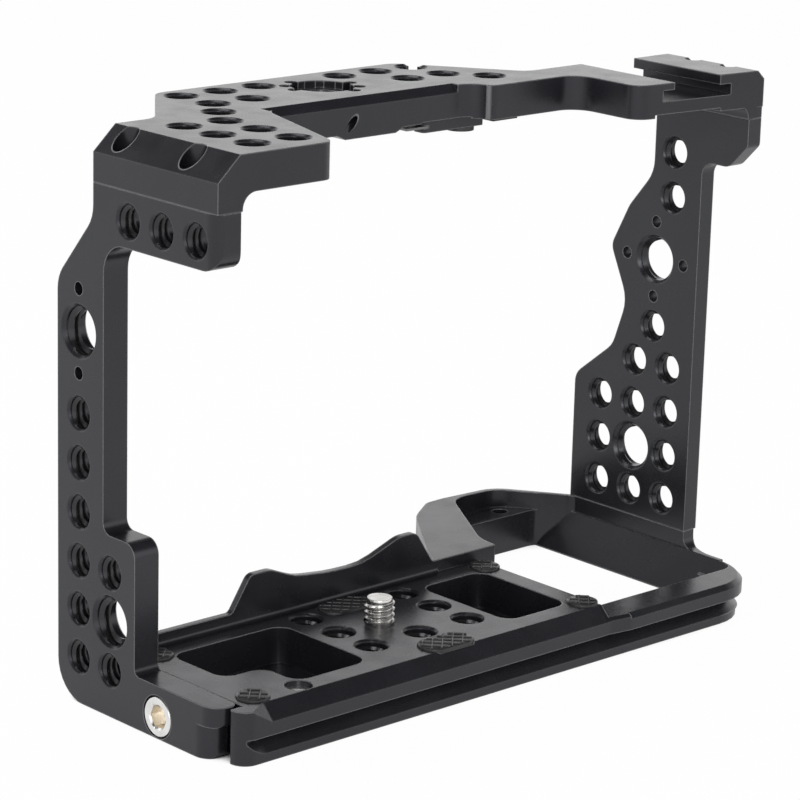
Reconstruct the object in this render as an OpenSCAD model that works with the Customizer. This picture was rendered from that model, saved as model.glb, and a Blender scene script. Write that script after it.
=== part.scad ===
// Camera cage: a frame of four bolted plates that closes round a mirrorless camera body.
// Lengths are in millimetres. X runs to the operator's right, Y to the lens side, Z up.
// The origin is on the base plate's top face, in the middle of its threaded hole pattern.

/* [Cage] */
// Left plate's outer face from the middle of the base's hole pattern
cage_left = 61.1; // [60:0.1:75]
// Right plate's outer face from the middle of the base's hole pattern
cage_right = 92.2; // [91.5:0.1:105]
// Top plate's upper face above the base plate's upper face
cage_top = 105.9; // [105:0.1:130]
// Distance between neighbouring threaded holes
hole_pitch = 10; // [9.6:0.1:10.4]

/* [Threaded holes] */
// Thread diameter of the quarter-inch holes
small_bore_d = 6.4; // [6:0.1:6.6]
// Mouth diameter of the quarter-inch holes
small_mouth_d = 7.3; // [6.8:0.1:7.8]
// Thread diameter of the three-eighths holes
large_bore_d = 9.6; // [9:0.1:9.8]
// Mouth diameter of the three-eighths holes
large_mouth_d = 11; // [10.2:0.1:11.4]
// Diameter of the anti-twist pin holes beside the three-eighths holes
pin_bore_d = 2.6; // [2:0.1:3]
// Distance from a three-eighths hole to its anti-twist pin holes
pin_offset = 8.4; // [8.2:0.1:8.8]

/* [Base plate] */
// Thickness of the base plate
base_t = 10.8; // [10.4:0.1:14]
// Rear face of the base plate behind the hole pattern
base_rear = 24.2; // [24:0.1:27]
// Front face of the base plate before the hole pattern
base_front = 17.2; // [17:0.1:20]
// Bevel along the rear top edge of the base plate
rear_bevel = 3; // [2:0.1:3.2]
// Height of the front lip and of the flat beside the grip
lip_h = 2.7; // [2.2:0.1:3]
// Width of the dovetail under the base plate
dovetail_w = 38; // [37:0.1:38.5]

/* [Side plates] */
// Thickness of the left plate
left_t = 5.9; // [5.2:0.1:6.6]
// Thickness of the right plate
right_t = 3.9; // [3.6:0.1:4.4]

/* [Top plate] */
// Thickness of the top plate
top_t = 7.2; // [6.8:0.1:8]
// Width of the accessory shoe's slot
shoe_w = 18.7; // [18.5:0.1:18.9]
// Gap between the lips of the accessory shoe
shoe_gap = 12.6; // [12.5:0.1:12.9]
// Height of the accessory shoe's slot
shoe_slot_h = 2.3; // [2.1:0.1:2.5]
// Thickness of the accessory shoe's lips
shoe_lip_t = 1.5; // [1.3:0.1:1.9]

/* [Camera screw] */
// Thread diameter of the camera screw
stud_d = 6.3; // [6:0.05:6.35]
// How far the camera screw stands above the base plate
stud_rise = 4.9; // [4:0.1:6]
// Head diameter of the camera screw
stud_head_d = 13; // [11:0.1:13.5]

/* [Hidden] */
$fn = 64;
// Overrun of every cut, gap between bolted faces, and gap round a seated piece
cut = 1;
seam = 0.05;
slack = 0.15;
// Largest turn of one flat along a rounded corner, in degrees
arc_step = 12;

black = [0.11, 0.11, 0.12];
rubber = [0.16, 0.16, 0.17];
steel = [0.78, 0.78, 0.76];

// Datums: outer faces of the side plates, inner faces, and the base plate's ends
left_x = -cage_left;
left_in = left_x + left_t;
right_x = cage_right;
right_in = right_x - right_t;
base_x = left_in + seam;

// Left plate
left_front = 30;
left_neck_front = 18.7;
left_slope_low = 31;
left_slope_high = 17.6;
left_rear = 18.4;
left_joint_drop = 10.7;
left_joint_z = cage_top - left_joint_drop;
left_wing_h = 11;
left_post_rear = 15.5;
left_leg_rear = 5.5;
left_leg_top = 26.4;
left_foot_rear = 19.2;
left_foot_low_rear = 17.4;
left_tab_t = 4.1;
left_tab_fillet = 1.4;
left_foot_r = 3.9;
left_foot_in_r = 1.9;
left_toe_r = 8;
left_wing_r = 4;
left_wing_fillet = 6;
left_slope_r = 7;
left_leg_r = 3;
left_leg_fillet = 2.2;
left_foot_fillet = 1.4;

// Left plate's holes: the front column, the rear column and the row in the wing
left_column_y = 23.3;
left_column_z = 8.8;
left_column_low = -1;
left_column_high = 4;
left_large_z = cage_top - 40.7;
left_row_y = -2;
left_row_drop = 5.8;

// Base plate
column_x = 13.2;
ear_w = 3.2;
ear_l = 3.9;
ear_r = 3.4;
lip_t = 1.5;
lip_fillet = 1;
lip_end = 28.8;
fence_x = -28.2;
fence_l = 55.4;
fence_h = 10.1;
bevel_x = base_x + 4.2;
bevel_end = 40;
bevel_run = 5;
bevel_end_run = 20;
groove_top = 5.7;
groove_low = 9.07;
groove_d = 2.6;
groove_x = base_x + 3.6;
groove_end_r = 8;
groove_stop_y = -8;
dovetail_front = dovetail_w - base_rear;
front_groove_d = 1.8;
front_groove_end = 28;
fence_shares = [[-0.025, 0, 0], [0, 0, 0.15], [0.087, 1, 0.22], [0.186, 1, 0.4], [0.305, 0.633, 1.5],
    [0.473, 0.497, 3], [0.635, 0.483, 1.8], [0.825, 1, 0.6], [0.912, 1, 0.22], [1, 0, 0.15], [1.025, 0, 0]];
fence_r = 10;
pocket_floor = 3;
pocket_r = 3.5;
left_pocket_x = base_x + 6.7;
left_pocket_end = -19.5;
left_pocket_step_x = 10;
left_pocket_step_y = -6.4;
pocket_front = 10.4;
pocket_rear = -16.4;
right_pocket_x = 18.6;
right_pocket_end = 36.3;

// Battery opening and the loop round it
open_x = 41.1;
open_rear = -16.8;
open_front = 40;
open_right_edge = 0.4;
open_right = right_in - open_right_edge;
open_slope_w = 5.6;
open_r = 4;
open_front_r = 5;
open_cut_x = 5.4;
open_cut_y = 6.2;
rail_drop = 2.2;
rail_out = 0.8;
rail_step_x = 41;
rail_step_l = 5.5;
rail_bevel = 1.1;
boss_out = 3.2;
boss_run = 11;
loop_right = right_x - boss_out;
loop_front = 48.4;
loop_r = 13;
loop_front_r = 8;
loop_corner_w = 11.8;
loop_corner_x = right_in - loop_corner_w;
rim_t = 1.3;
rim_end_h = 1.5;
flat_w = 17;
flat_front_x = 54.8;
flat_front_drop = 1;
flat_front_r = 5;
flat_side_r = 14;
flat_side = [[46, 41.5], [31.5, 22]];
shelf_bend = [46.4, 21.2, 12];
shelf_end = [61.8, 46.3, 8];
rim_slope_x = 60;
shelf_hole_d = 3.6;
shelf_hole_x = 74.6;
shelf_hole_y = 43.8;

// Right plate and the boss that carries it
right_foot_rear = -0.6;
right_foot_front = 34.8;
boss_fillet = 2.4;
right_top_drop = 9.6;
right_top_z = cage_top - right_top_drop;
right_h = right_top_z - rim_end_h;
right_top_front = 13.4;
right_wing_rear = 13.2;
right_wing_drop = 6;
right_wing_h = 11.2;
right_wing_l = 7.6;
right_wing_r = 3;
right_edge_r = 8;
right_edge_shares = [[1, 0.306, 0.5], [0.68, 0.4, 0.75], [0.57, 0.517, 1], [0.727, 0.64, 0.4],
    [0.583, 0.744, 1], [0.385, 0.833, 1]];

// Right plate's holes: the lower grid, the holes above it and the pair at the top
right_grid_y = 16.8;
right_grid_z = 17.4;
right_step_h = 8.7;
right_large_y = 12;
right_large_share = 0.63;
right_pair_y = 7.6;
right_pair_drop = 10.5;

// Top plate
chamfer_drop = 4.8;
chamfer_w = 5.2;
arm_w = 27.6;
arm_r = 3.2;
arm_lean = 0.318;
arm_front_w = 14.7;
arm_front_lean = 0.788;
bar_slope_x = 51.2;
bar_lean = 0.738;
end_block_l = 8;
bar_boss_x = -5;
bar_boss_l = 18;
bar_boss_h = 1;
bar_boss_w = 5;
bar_boss_end = 2.2;
bar_front = 39.9;
bar_rear = 12.9;
bar_bevel = 1.7;
bar_right_x = 32.7;
bar_r = 5;
right_arm_rear = 7.9;
under_fillet = 3.2;
arm_hole_w = 14.1;
arm_hole_y = -1;
lone_hole_x = 28.9;
lone_hole_y = 16.9;
bar_hole_x = 17.4;
bar_hole_y = 34.4;
bar_far_x = 24.3;
key_x = 3.3;
key_y = 27.1;
key_d = 13.2;
key_notch_d = 2.9;
key_notches = 10;
key_notch_ring = 14.9;
key_notch_turn = 0;
key_sink = 1.6;
corner_hole_x = 40.7;
corner_hole_y = 17.2;
side_hole_d = 1.9;
side_hole_x = -1.2;
side_hole_drop = 5.2;
side_hole_rise = 40;
side_hole_turn = 52;

// Accessory shoe
shoe_side = 18.65;
shoe_mid = right_x - shoe_side;
shoe_left = 16.3;
shoe_left_x = shoe_mid - shoe_left;
shoe_rear_left = 9.8;
shoe_rear_right = 13.4;
shoe_front = 13;
shoe_front_left = 16.6;
shoe_rise = 0.6;
shoe_under = 6.5;
shoe_left_r = 3.8;
shoe_edge = 1.8;

// Screws
cap_d = 4.4;
cap_h = 2.6;
cap_room = 0.35;
cap_thread_d = 2.5;
cap_socket = 2.3;
cap_socket_h = 1.4;
cap_web = 3;
cap_bite = 4.6;
cap_inset = 3.4;
hex_sides = 6;
side_cap_d = 3.4;
side_cap_h = 2;
side_cap_room = 0.2;
side_thread_d = 2;
side_socket = 1.5;
side_socket_h = 1;
side_web = 5;
side_inset = 1.7;

// Foot screw
foot_screw_y = -1.7;
foot_screw_z = -6.4;
foot_head_d = 8;
foot_head_h = 3.4;
foot_head_room = 0.35;
foot_socket = 4.4;
foot_socket_d = 2.2;
foot_thread_d = 5;
foot_bite = 5.6;

// Camera screw and its retainer
stud_fit = 0.06;
stud_y = 0.5;
stud_x = -1.7;
stud_head_h = 2.4;
stud_slot_w = 1.6;
stud_slot_d = 1.2;
stud_travel = 2;
stud_tip = 0.6;
stud_neck_d = 4.9;
stud_foot = 0.3;
ring_t = 0.7;
ring_w = 2.8;
head_gap = 0.35;

// Height of the roof over the camera screw's head and ring
roof_z = stud_travel + head_gap + stud_head_h + ring_t + seam - base_t;

// Pads
pad_d = 6.6;
pad_h = 0.9;
pad_sunk = 0.5;
pad_left_x = base_x + 4.7;
pad_right_x = open_x - 2.1;
pad_front_y = 11.8;
pad_rear_y = -17.6;
oval_l = 13;
oval_w = 7;
oval_front_y = 11;
oval_rear_y = -18.2;
oval_front_x = -1.8;
oval_rear_x = -0.6;
round_pads = [[pad_left_x, pad_front_y], [pad_left_x, pad_rear_y], [pad_right_x, pad_front_y],
    [pad_right_x, pad_rear_y]];
oval_pads = [[oval_front_x, oval_front_y], [oval_rear_x, oval_rear_y]];

// Rib pattern on the pads
rib_w = 0.7;
rib_gap = 0.9;
rib_h = 0.35;

// Key magnet
magnet_d = 5.6;
magnet_x = -39.5;
magnet_y = -18.2;
magnet_h = 2.6;
magnet_drop = 1;

// Locator under the bar
locator_x = 20;
locator_l = 17.2;
locator_w = 6.2;
locator_h = 2.4;
locator_y = 14.6;
locator_sink = 0.3;
locator_bed_x = 18;
locator_bed_l = 20;
locator_cut = 3.4;
knob_d = 6;
knob_h = 1.1;
knob_x = 33.6;
knob_inset = 3.6;
knob_thread_d = 3;
knob_bite = 3;
strip_l = 4.6;
strip_w = 4;
strip_t = 0.5;
strip_drop = 0.9;
strip_hold = 1.5;
arm_pad_x = 33.8;
arm_pad_y = 8.5;
arm_pad_sunk = 0.3;
arm_pad_l = 7;
arm_pad_w = 5.6;
arm_pad_t = 0.7;

// Outlines are lists of [x, y, corner radius]; each corner becomes an arc of short flats.
function flat(p) = [p[0], p[1]];
function along(a, b) = (flat(b) - flat(a)) / norm(flat(b) - flat(a));
function side(u, v) = u[0] * v[1] - u[1] * v[0] < 0 ? 1 : -1;
function corner(a, b, c) =
    let (u = along(b, a), v = along(b, c), half = acos(max(-1, min(1, u * v))) / 2)
    b[2] == 0 || half > 89 ? [flat(b)] :
    let (
        mid = flat(b) + (u + v) / norm(u + v) * b[2] / sin(half),
        from = flat(b) + u * b[2] / tan(half) - mid,
        start = atan2(from[1], from[0]),
        sweep = side(u, v) * (180 - 2 * half),
        steps = ceil(abs(sweep) / arc_step)
    )
    [for (i = [0:steps]) mid + b[2] * [cos(start + sweep * i / steps), sin(start + sweep * i / steps)]];
function rounded(points) =
    let (n = len(points))
    [for (i = [0:n - 1]) each corner(points[(i + n - 1) % n], points[i], points[(i + 1) % n])];

// Flat sheet of a rounded outline between two heights
module slab(points, low, high) {
    translate([0, 0, low]) linear_extrude(high - low) polygon(rounded(points));
}

// Sheet whose outline lies in Y and Z, between two values of X
module side_sheet(points, from, to) {
    translate([from, 0, 0]) rotate([90, 0, 90]) linear_extrude(to - from) polygon(rounded(points));
}

// Sheet whose outline lies in X and Z, between two values of Y
module front_sheet(points, from, to) {
    translate([0, to, 0]) rotate([90, 0, 0]) linear_extrude(to - from) polygon(rounded(points));
}

// Threaded hole along Z with a chamfered mouth at both faces of a sheet
module threaded_hole(d, mouth, t) {
    sink = (mouth - d) / 2;
    translate([0, 0, -cut]) cylinder(d = d, h = t + 2 * cut);
    translate([0, 0, t - sink]) cylinder(d1 = d, d2 = mouth + 2 * cut, h = sink + cut);
    translate([0, 0, -cut]) cylinder(d1 = mouth + 2 * cut, d2 = d, h = sink + cut);
}

module small_hole(t) { threaded_hole(small_bore_d, small_mouth_d, t); }
module large_hole(t) { threaded_hole(large_bore_d, large_mouth_d, t); }
module pin_hole(t) { translate([0, 0, -cut]) cylinder(d = pin_bore_d, h = t + 2 * cut); }

// Places a hole tool at [y, z] so that it runs along X from x
module at_side(x, place) { translate([x, place[0], place[1]]) rotate([90, 0, 90]) children(); }

// Socket-head screw along Z: the head's foot is at zero and the thread hangs below it
module cap_screw(head_d, head_h, thread_d, length, socket, socket_h) {
    difference() {
        union() {
            cylinder(d = head_d, h = head_h);
            translate([0, 0, -length]) cylinder(d = thread_d, h = length);
        }
        translate([0, 0, head_h - socket_h]) cylinder(d = socket, h = socket_h + cut, $fn = hex_sides);
    }
}

// Room for a cap screw along Z: a pocket for the head, open upward, and the shank's clearance
module cap_room_cut(head_d, open_h, thread_d, web) {
    cylinder(d = head_d, h = open_h);
    translate([0, 0, -web - cut]) cylinder(d = thread_d + 2 * slack, h = web + 2 * cut);
}

// Thread's bore in the far plate, a little deeper than the screw
module cap_bore(thread_d, web) {
    translate([0, 0, -web - cap_bite - cap_room]) cylinder(d = thread_d, h = cap_bite + 2 * cap_room);
}

// Places of the screws, seen from above
top_left_places = [for (step = [1.5, -0.5]) [left_x + cap_inset, left_row_y + step * hole_pitch]];
top_right_places = [for (step = [0.5, -0.5]) [right_in + side_inset, step * hole_pitch]];
foot_places = [for (step = [0.5, -0.5]) [right_in + side_inset, right_grid_y + step * hole_pitch]];
top_left_cap_z = left_joint_z + cap_web;
top_right_cap_z = right_top_z + cap_web;
foot_cap_z = rim_end_h - side_web;

// Left plate

module left_outline() {
    side_sheet([
        [-left_foot_low_rear, -base_t, left_foot_fillet],
        [left_front, -base_t, left_toe_r],
        [left_front, cage_top - left_slope_low, left_slope_r],
        [left_neck_front, cage_top - left_slope_high, left_slope_r],
        [left_neck_front, left_joint_z, 0],
        [-left_rear, left_joint_z, 0],
        [-left_rear, left_joint_z - left_wing_h, left_wing_r],
        [left_post_rear, left_joint_z - left_wing_h, left_wing_fillet],
        [left_post_rear, left_leg_top, left_leg_fillet],
        [left_leg_rear, left_leg_top, left_leg_r],
        [left_leg_rear, 0, left_foot_fillet],
        [-left_foot_rear, 0, 0],
        [-left_foot_rear, -left_tab_t, left_foot_fillet],
        [-left_foot_low_rear, -left_tab_t, left_tab_fillet]
    ], left_x, left_in);
}

// Rounds the foot's rear end, seen from above
module foot_end(rear, low, high) {
    slab([
        [left_x, left_front + cut, 0],
        [left_in, left_front + cut, 0],
        [left_in, -rear, left_foot_in_r],
        [left_x, -rear, left_foot_r]
    ], low, high);
}

module left_holes() {
    for (i = [left_column_low:left_column_high])
        at_side(left_x, [left_column_y, left_column_z + i * hole_pitch]) small_hole(left_t);
    for (i = [-1, 1])
        at_side(left_x, [left_column_y - hole_pitch, left_column_z + i * hole_pitch]) small_hole(left_t);
    at_side(left_x, [left_column_y - hole_pitch, left_column_z]) large_hole(left_t);
    at_side(left_x, [left_column_y, left_large_z]) large_hole(left_t);
    for (i = [-1, 1])
        at_side(left_x, [left_column_y, left_large_z + i * pin_offset]) pin_hole(left_t);
    for (i = [-1:1])
        at_side(left_x, [left_row_y + i * hole_pitch, left_joint_z - left_row_drop]) small_hole(left_t);
}

module foot_screw_room() {
    at_side(left_x, [foot_screw_y, foot_screw_z]) {
        translate([0, 0, -cut]) cylinder(d = foot_head_d + 2 * foot_head_room, h = foot_head_h + cut);
        translate([0, 0, -cut]) cylinder(d = foot_thread_d + 2 * slack, h = left_t + 2 * cut);
    }
}

module left_plate() {
    color(black) difference() {
        intersection() {
            left_outline();
            union() {
                foot_end(left_foot_low_rear, -base_t, -left_tab_t);
                foot_end(left_foot_rear, -left_tab_t, cage_top);
            }
        }
        left_holes();
        foot_screw_room();
        for (p = top_left_places) translate([p[0], p[1], top_left_cap_z]) cap_bore(cap_thread_d, cap_web);
    }
}

// Right plate

module right_outline() {
    front = [for (s = right_edge_shares)
        [s[0] * right_foot_front, rim_end_h + s[1] * right_h, s[2] * right_edge_r]];
    wing_z = right_top_z - right_wing_h;
    side_sheet(concat(
        [[right_foot_rear, rim_end_h + seam, 0], [right_foot_front, rim_end_h + seam, 0]],
        front,
        [[right_top_front, right_top_z - seam, 0],
            [-right_wing_rear, right_top_z - seam, 0],
            [-right_wing_rear, right_top_z - right_wing_drop, right_wing_r / 2],
            [right_foot_rear - right_wing_l, wing_z, right_wing_r],
            [right_foot_rear, wing_z, right_wing_r]]
    ), right_in, right_x);
}

module right_holes() {
    for (i = [-1:1], j = [-1:1])
        if (i != 0 || j != 0)
            at_side(right_in, [right_grid_y + i * hole_pitch, right_grid_z + j * hole_pitch])
                small_hole(right_t);
    at_side(right_in, [right_grid_y, right_grid_z]) large_hole(right_t);
    for (i = [-1, 0])
        at_side(right_in, [right_grid_y + i * hole_pitch, right_grid_z + 2 * hole_pitch])
            small_hole(right_t);
    at_side(right_in, [right_grid_y - hole_pitch / 2, right_grid_z + 2 * hole_pitch + right_step_h])
        small_hole(right_t);
    large_z = rim_end_h + right_large_share * right_h;
    at_side(right_in, [right_large_y, large_z]) {
        large_hole(right_t);
        for (turn = [0:90:270]) rotate(turn) translate([pin_offset, 0, 0]) pin_hole(right_t);
    }
    for (i = [0, 1])
        at_side(right_in, [right_pair_y, right_top_z - right_pair_drop - i * hole_pitch]) small_hole(right_t);
}

module right_plate() {
    color(black) difference() {
        right_outline();
        right_holes();
        for (p = top_right_places)
            translate([p[0], p[1], top_right_cap_z]) cap_bore(side_thread_d, cap_web);
        for (p = foot_places)
            translate([p[0], p[1], foot_cap_z]) rotate([180, 0, 0]) cap_bore(side_thread_d, side_web);
    }
}

// Top plate

module top_outline(low, high) {
    slab([
        [left_x, -left_rear, 0],
        [left_x + arm_w, -left_rear, arm_r],
        [left_x + arm_w + (bar_rear + left_rear) * arm_lean, bar_rear, bar_r],
        [bar_right_x, bar_rear, bar_r],
        [bar_right_x, right_arm_rear, arm_r / 2],
        [shoe_left_x, right_arm_rear, bar_r],
        [shoe_left_x, -shoe_rear_left, shoe_left_r],
        [right_x, -shoe_rear_right, 0],
        [right_x, shoe_front, shoe_edge],
        [shoe_mid + shoe_gap / 2 - cut / 2, shoe_front, 0],
        [shoe_mid - shoe_gap / 2, shoe_front_left, 0],
        [bar_slope_x, shoe_front_left, bar_r],
        [bar_slope_x - (bar_front - shoe_front_left) * bar_lean, bar_front, bar_r],
        [left_x + arm_front_w + (bar_front - left_neck_front) * arm_front_lean, bar_front, bar_r],
        [left_x + arm_front_w, left_neck_front, bar_r],
        [left_x, left_neck_front, 0]
    ], low, high);
}

module top_holes() {
    top_low = cage_top - top_t;
    for (i = [0, 1], j = [-1:1])
        translate([left_x + arm_hole_w + i * hole_pitch, arm_hole_y + j * hole_pitch, top_low])
            small_hole(top_t);
    translate([left_x + lone_hole_x, lone_hole_y, top_low]) small_hole(top_t);
    for (i = [-1:1]) {
        translate([i * hole_pitch - bar_hole_x, bar_hole_y, top_low]) small_hole(top_t);
        translate([i * hole_pitch + bar_far_x, bar_hole_y, top_low]) small_hole(top_t);
    }
    for (i = [-1, 0])
        translate([i * hole_pitch - bar_hole_x, bar_hole_y - hole_pitch, top_low]) small_hole(top_t);
    for (i = [0, 1])
        translate([i * hole_pitch + bar_far_x, bar_hole_y - hole_pitch, top_low]) small_hole(top_t);
    translate([corner_hole_x, corner_hole_y, top_low]) small_hole(top_t);
    translate([key_x, key_y, top_low]) {
        large_hole(top_t);
        translate([0, 0, top_t - key_sink]) cylinder(d = key_d, h = key_sink + cut);
        for (i = [0:key_notches - 1]) rotate(i * 360 / key_notches + key_notch_turn)
            translate([key_notch_ring / 2, 0, top_t - key_sink - slack])
                cylinder(d = key_notch_d, h = key_sink + slack + cut);
    }
}

// Blocks that reach down to the side plates, each with a fillet under the arm
module end_blocks() {
    under = cage_top - top_t;
    shoe_low = cage_top - shoe_under;
    front_sheet([
        [left_x, left_joint_z + seam, 0],
        [left_in, left_joint_z + seam, 0],
        [left_in, under, under_fillet],
        [left_in + end_block_l, under, 0],
        [left_in + end_block_l, under + cut, 0],
        [left_x, under + cut, 0]
    ], -left_rear, left_neck_front);
    front_sheet([
        [right_x, right_top_z, 0],
        [right_x, shoe_low + cut, 0],
        [right_in - end_block_l, shoe_low + cut, 0],
        [right_in - end_block_l, shoe_low, 0],
        [right_in, shoe_low, under_fillet],
        [right_in, right_top_z, 0]
    ], -right_wing_rear, right_top_front);
}

// Bevels along the left end, the right end and the bar's rear edge
module top_bevels() {
    long = 2 * cage_top;
    front_sheet([
        [left_x - cut, cage_top - chamfer_drop - cut * chamfer_drop / chamfer_w, 0],
        [left_x + chamfer_w + cut, cage_top + cut * chamfer_drop / chamfer_w, 0],
        [left_x - cut, cage_top + cut * chamfer_drop / chamfer_w, 0]
    ], -long / 2, long / 2);
    front_sheet([
        [right_x + cut, cage_top + shoe_rise - shoe_edge - cut, 0],
        [right_x + cut, cage_top + shoe_rise + cut, 0],
        [right_x - shoe_edge - cut, cage_top + shoe_rise + cut, 0]
    ], -long / 2, long / 2);
    side_sheet([
        [bar_rear - cut, cage_top - bar_bevel - cut, 0],
        [bar_rear + bar_bevel + cut, cage_top + cut, 0],
        [bar_rear - cut, cage_top + cut, 0]
    ], left_x + arm_w + (bar_rear + left_rear) * arm_lean, bar_right_x - bar_r);
}

module shoe_slot() {
    floor_z = cage_top - shoe_lip_t - shoe_slot_h;
    long = 2 * (shoe_rear_right + shoe_front_left);
    translate([shoe_mid - shoe_w / 2, -long / 2, floor_z]) cube([shoe_w, long, shoe_slot_h]);
    translate([shoe_mid - shoe_gap / 2, -long / 2, floor_z]) cube([shoe_gap, long, shoe_slot_h + shoe_under]);
}

// Bed for the locator under the bar and the bore of its screw
module locator_room() {
    under = cage_top - top_t;
    translate([locator_bed_x, bar_rear - cut, under - cut])
        cube([locator_bed_l, locator_y + locator_w + slack - bar_rear + cut, locator_sink + cut]);
    translate([knob_x, locator_y + knob_inset, under + locator_sink - cut])
        cylinder(d = knob_thread_d, h = knob_bite + cut + cap_room);
}

module top_plate() {
    under = cage_top - top_t;
    color(black) difference() {
        union() {
            top_outline(under, cage_top);
            intersection() {
                top_outline(under, cage_top + shoe_rise);
                translate([shoe_mid, -cage_top, cage_top - cut])
                    cube([cage_right, 2 * cage_top, shoe_rise + cut]);
            }
            intersection() {
                end_blocks();
                top_outline(left_joint_z, cage_top);
            }
            // Low boss under the bar's rear edge
            front_sheet([
                [bar_boss_x - bar_boss_end, under + cut, 0],
                [bar_boss_x, under, 0],
                [bar_boss_x + bar_boss_end, under - bar_boss_h, 0],
                [bar_boss_x + bar_boss_l - bar_boss_end, under - bar_boss_h, 0],
                [bar_boss_x + bar_boss_l, under, 0],
                [bar_boss_x + bar_boss_l, under + cut, 0]
            ], bar_rear, bar_rear + bar_boss_w);
        }
        translate([shoe_left_x + bar_r, -cage_top, under - cut])
            cube([right_in - shoe_left_x - bar_r - end_block_l, 2 * cage_top, cut + top_t - shoe_under]);
        top_bevels();
        top_holes();
        shoe_slot();
        locator_room();
        translate([side_hole_x, bar_rear, cage_top - side_hole_drop])
            rotate([side_hole_rise - 90, 0, -side_hole_turn])
            translate([0, 0, -2 * side_hole_d]) cylinder(d = side_hole_d, h = 4 * side_hole_d);
        translate([arm_pad_x, arm_pad_y, under - cut]) cube([arm_pad_l, arm_pad_w, arm_pad_sunk + cut]);
        for (p = top_left_places) translate([p[0], p[1], top_left_cap_z])
            cap_room_cut(cap_d + 2 * cap_room, top_t + cut, cap_thread_d, cap_web);
        for (p = top_right_places) translate([p[0], p[1], top_right_cap_z])
            cap_room_cut(side_cap_d + 2 * side_cap_room, top_t + shoe_rise + cut, side_thread_d, cap_web);
    }
}

// Base plate

// Everything on the side a plane's normal points away from
module below_plane(at, normal, size) {
    translate(at) rotate(a = acos(normal[2] / norm(normal)), v = cross([0, 0, 1], normal))
        translate([-size, -size, -size]) cube([2 * size, 2 * size, size]);
}

module base_slab() {
    slab([
        [base_x - ear_w, -base_rear, ear_r],
        [open_x, -base_rear, 0],
        [open_x, base_front, 0],
        [base_x, base_front, 0],
        [base_x, ear_l - base_rear, 0],
        [base_x - ear_w, ear_l - base_rear, ear_r / 8]
    ], -base_t, 0);
}

// Outline of the loop's outer side; the rail stands out from the slab by the given width
function loop_outline(out) = [
    [open_x - rail_step_l, cut - base_rear, 0],
    [open_x - rail_step_l, -base_rear, 0],
    [rail_step_x, -base_rear, rail_step_l],
    [rail_step_x + rail_step_l, -base_rear - out, rail_step_l],
    [loop_right - rail_out + out, -base_rear - out, loop_r],
    [loop_right - rail_out + out, right_foot_front, 0],
    [right_in, right_foot_front, 0],
    [loop_corner_x, loop_front, loop_front_r],
    [flat_front_x, loop_front - flat_front_drop, flat_front_r],
    [flat_side[0][0], flat_side[0][1], flat_side_r],
    [flat_side[1][0], flat_side[1][1], flat_side_r],
    [lip_end, base_front, 0],
    [lip_end, base_front - lip_t, 0],
    [open_x - rail_step_l, base_front - lip_t, 0]
];

// Outline of the boss that carries the right plate, between two heights
module boss_plan(low, high) {
    slab([
        [right_in - boss_fillet, right_foot_rear - boss_run, 0],
        [loop_right, right_foot_rear - boss_run, 0],
        [loop_right, right_foot_rear - boss_run / 2, boss_run],
        [right_x, right_foot_rear + boss_fillet / 2, boss_fillet],
        [right_x, right_foot_front, 0],
        [right_in - boss_fillet, right_foot_front - boss_fillet, 0]
    ], low, high);
}

module loop() {
    slab(loop_outline(0), -base_t, -rail_drop);
    slab(loop_outline(rail_out), -groove_low, -rail_drop);
    boss_plan(-base_t, -rail_drop);
    intersection() {
        boss_plan(-base_t, lip_h);
        side_sheet([
            [right_foot_rear - 2 * boss_fillet, -rail_drop - cut, 0],
            [right_foot_front, -rail_drop - cut, 0],
            [right_foot_front, rim_end_h, 0],
            [right_foot_rear, rim_end_h, 0],
            [right_foot_rear, -rail_drop, boss_fillet],
            [right_foot_rear - 2 * boss_fillet, -rail_drop, 0]
        ], right_in, right_x);
    }
}

// Flat beside the grip and the thin rim that runs on from it to the right plate
module flat_and_rim() {
    rim_end = [right_in + cut, right_foot_front];
    intersection() {
        slab([
            [lip_end, base_front - lip_t, 0],
            [lip_end + flat_w, base_front - lip_t, 0],
            shelf_bend,
            shelf_end,
            [loop_corner_x - rim_t / 2, loop_front - rim_t, loop_front_r - rim_t],
            [right_in - rim_t * 3 / 4, right_foot_front - rim_t * 2 / 3, 0],
            [right_in + rim_t, right_foot_front - 2 * rim_t, 0],
            [right_in + rim_t, right_foot_front, 0],
            [right_in, right_foot_front, 0],
            [loop_corner_x, loop_front, loop_front_r],
            [flat_front_x, loop_front - flat_front_drop, flat_front_r],
            [flat_side[0][0], flat_side[0][1], flat_side_r],
            [flat_side[1][0], flat_side[1][1], flat_side_r],
            [lip_end, base_front, 0]
        ], -base_t, lip_h);
        front_sheet([
            [lip_end - cut, -base_t - cut, 0],
            [lip_end - cut, lip_h + cut, 0],
            [rim_slope_x, lip_h, 0],
            [right_in, rim_end_h, 0],
            [right_x + cut, rim_end_h, 0],
            [right_x + cut, -base_t - cut, 0]
        ], 0, 2 * loop_front);
    }
}

// Front lip with its foot fillet and the shaped fence on it
module lip() {
    fence_low = lip_h - seam;
    side_sheet([
        [base_front, -cut, 0],
        [base_front, lip_h, 0],
        [base_front - lip_t, lip_h, 0],
        [base_front - lip_t, 0, lip_fillet],
        [base_front - lip_t - 2 * lip_fillet, 0, 0],
        [base_front - lip_t - 2 * lip_fillet, -cut, 0]
    ], base_x, lip_end);
    front_sheet(concat(
        [for (s = fence_shares)
            [fence_x + s[0] * fence_l, fence_low + s[1] * (fence_h - lip_h), s[2] * fence_r]],
        [for (s = [fence_shares[len(fence_shares) - 1], fence_shares[0]])
            [fence_x + s[0] * fence_l, lip_h - cut, 0]]
    ), base_front - lip_t, base_front);
}

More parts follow.
